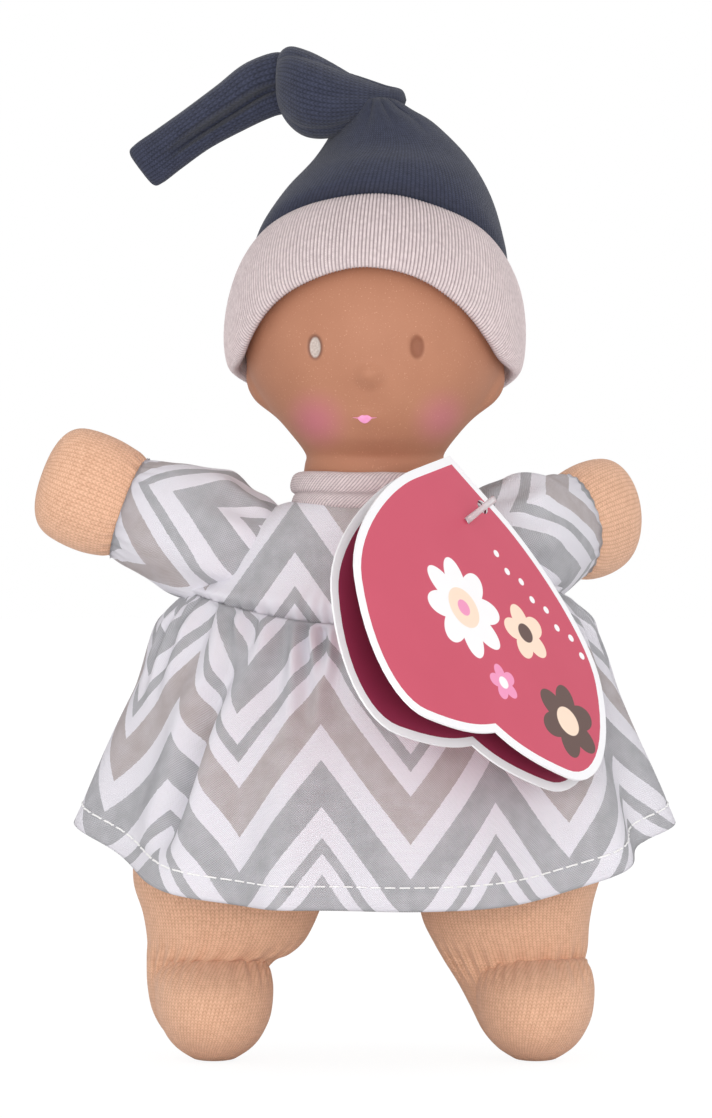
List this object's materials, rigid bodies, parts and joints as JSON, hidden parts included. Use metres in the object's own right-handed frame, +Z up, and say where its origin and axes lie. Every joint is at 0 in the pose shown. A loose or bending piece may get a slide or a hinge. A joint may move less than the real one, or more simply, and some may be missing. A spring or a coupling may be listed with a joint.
{
  "type": "cloth doll",
  "caption": "Soft stuffed doll with a moulded head, knotted knit hat, gathered printed dress, mitten hands and stubby feet, with a folded heart card tag.",
  "frame": {"origin": "centre of the bounding box in plan, on the floor under the soles", "axes": "+Z up along the doll's height, -Y the way the face looks, +X the doll's left"},
  "size_m": [0.146, 0.1314, 0.2305],
  "materials": {
    "rubber": "matte",
    "rib_knit": "matte",
    "navy_jersey": "matte",
    "printed_cotton": "matte",
    "tan_jersey": "matte",
    "stuffing": "matte",
    "tie_thread": "matte",
    "card": "satin",
    "nylon": "gloss"
  },
  "bodies": {
    "torso": {"bodice": "printed_cotton", "seat": "tan_jersey", "torso_stuffing": "stuffing", "skirt": "printed_cotton", "collar": "rib_knit"},
    "neck": {"neck_tie": "tie_thread"},
    "head": {"head_shell": "rubber", "hat_cuff": "rib_knit", "hat_crown": "navy_jersey", "hat_knot": "navy_jersey"},
    "tail": {"hat_tail": "navy_jersey"},
    "arm_right": {"right_sleeve": "printed_cotton", "right_hand": "tan_jersey", "right_arm_stuffing": "stuffing"},
    "arm_left": {"left_sleeve": "printed_cotton", "left_hand": "tan_jersey", "left_arm_stuffing": "stuffing"},
    "leg_right": {"right_leg": "tan_jersey", "right_leg_stuffing": "stuffing", "right_foot": "tan_jersey", "right_foot_stuffing": "stuffing"},
    "leg_left": {"left_leg": "tan_jersey", "left_leg_stuffing": "stuffing", "left_foot": "tan_jersey", "left_foot_stuffing": "stuffing"},
    "tag": {"tag_back_leaf": "card", "fastener_thread": "nylon"},
    "leaf": {"tag_front_leaf": "card", "fastener_bar": "nylon"}
  },
  "joints": [
    {"name": "head_nod", "type": "hinge", "parent": "torso", "child": "neck", "pos_m": [0.00245, 0.01822, 0.1315], "axis": [1, 0, 0], "range_deg": [-12, 12], "stiffness_Nm_per_rad": 0.15},
    {"name": "head_turn", "type": "hinge", "parent": "neck", "child": "head", "pos_m": [0.00245, 0.01822, 0.1315], "axis": [0, 0, 1], "range_deg": [-35, 35], "stiffness_Nm_per_rad": 0.05},
    {"name": "tail_flop", "type": "hinge", "parent": "head", "child": "tail", "pos_m": [-0.02358, 0.02569, 0.22034], "axis": [0, 1, 0], "range_deg": [-30, 35], "stiffness_Nm_per_rad": 0.004},
    {"name": "right_arm_raise", "type": "hinge", "parent": "torso", "child": "arm_right", "pos_m": [-0.02787, 0.02037, 0.11542], "axis": [0, 1, 0], "range_deg": [-6, 35], "stiffness_Nm_per_rad": 0.05},
    {"name": "left_arm_raise", "type": "hinge", "parent": "torso", "child": "arm_left", "pos_m": [0.02985, 0.02724, 0.11542], "axis": [0, -1, 0], "range_deg": [-6, 35], "stiffness_Nm_per_rad": 0.05},
    {"name": "right_leg_swing", "type": "hinge", "parent": "torso", "child": "leg_right", "pos_m": [-0.02805, 0.01822, 0.062], "axis": [-1, 0, 0], "range_deg": [-20, 25], "stiffness_Nm_per_rad": 0.3},
    {"name": "left_leg_swing", "type": "hinge", "parent": "torso", "child": "leg_left", "pos_m": [0.03295, 0.01822, 0.062], "axis": [-1, 0, 0], "range_deg": [-20, 25], "stiffness_Nm_per_rad": 0.3},
    {"name": "tag_swing", "type": "hinge", "parent": "torso", "child": "tag", "pos_m": [0.0257, -0.00512, 0.12502], "axis": [0.6998, -0.5872, 0.4067], "range_deg": [-12, 15]},
    {"name": "leaf_open", "type": "hinge", "parent": "tag", "child": "leaf", "pos_m": [0.02698, -0.00206, 0.12725], "axis": [-0.6385, -0.2589, 0.7248], "range_deg": [-5, 60], "stiffness_Nm_per_rad": 0.002}
  ]
}
